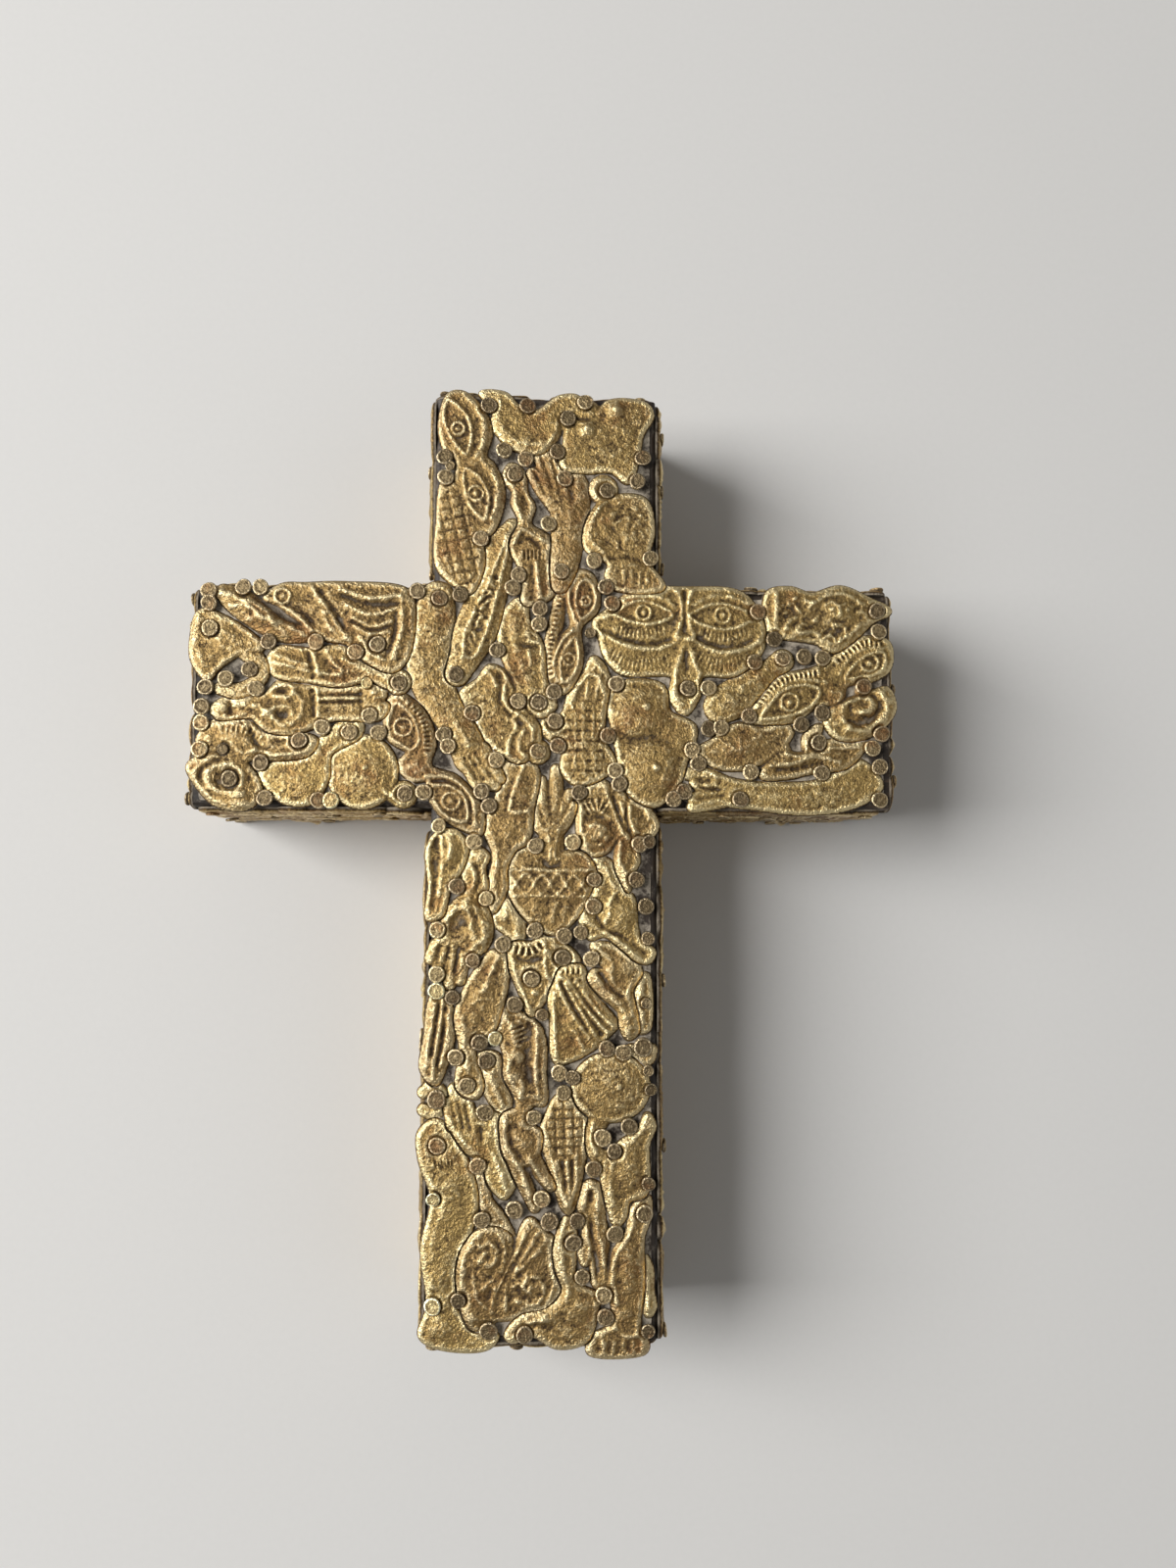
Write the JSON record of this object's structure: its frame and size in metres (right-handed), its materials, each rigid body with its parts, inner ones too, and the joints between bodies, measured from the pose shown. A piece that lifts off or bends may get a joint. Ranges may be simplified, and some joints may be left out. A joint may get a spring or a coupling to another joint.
{
  "type": "milagro wall cross",
  "caption": "Wooden wall cross covered on its front and side faces with small stamped brass votive charms, each held by flat-headed brass nails.",
  "frame": {"origin": "middle of the box round the cross, at its back face", "axes": "the cross lies on its back: +Z out of its front, +Y towards its top end, +X to the right seen from the front"},
  "size_m": [0.114, 0.1524, 0.0255],
  "materials": {
    "brass": "aged, rubbed bright on the raised parts and dark brown in the recesses",
    "wood": "dark stained, worn at the edges",
    "iron": "dull"
  },
  "bodies": {
    "root": {"post": "wood", "beam": "wood", "lap_nail_lower": "iron", "lap_nail_upper": "iron", "eyes_and_corn_upper": "brass", "crescent_and_chest": "brass", "veiled_bust": "brass", "forearm_upper": "brass", "standing_man_upper": "brass", "pod_upper": "brass", "braid_and_robe": "brass", "stomach": "brass", "leaf": "brass", "lying_man": "brass", "boar_and_shell": "brass", "gourd": "brass", "breast_disc_left": "brass", "eyes_left": "brass", "bent_arm": "brass", "liver_and_kidneys": "brass", "eyes_upright": "brass", "window_house": "brass", "breast_pair": "brass", "eyes_large": "brass", "bearded_bust": "brass", "club": "brass", "eyes_and_shell_right": "brass", "bean_and_dog": "brass", "long_arm": "brass", "limb_left": "brass", "kneeler_and_hand": "brass", "leg_centre": "brass", "flaming_heart": "brass", "head_and_sash": "brass", "seated_figure": "brass", "walking_figure": "brass", "pleated_bundle": "brass", "praying_figure": "brass", "thigh": "brass", "drape": "brass", "kneeling_woman": "brass", "hand_lower": "brass", "disc_and_calf": "brass", "corn_cob_lower": "brass", "boot": "brass", "leg_and_figure_right": "brass", "eyes_lower": "brass", "long_leg": "brass", "side_post_upper_right": "brass", "side_post_upper_left": "brass", "side_post_lower_right": "brass", "side_post_lower_left": "brass", "side_beam_end_right": "brass", "side_beam_end_left": "brass", "side_post_end_top": "brass", "side_post_end_bottom": "brass", "side_beam_top_right": "brass", "side_beam_top_left": "brass", "side_beam_bottom_right": "brass", "side_beam_bottom_left": "brass"}
  },
  "joints": []
}
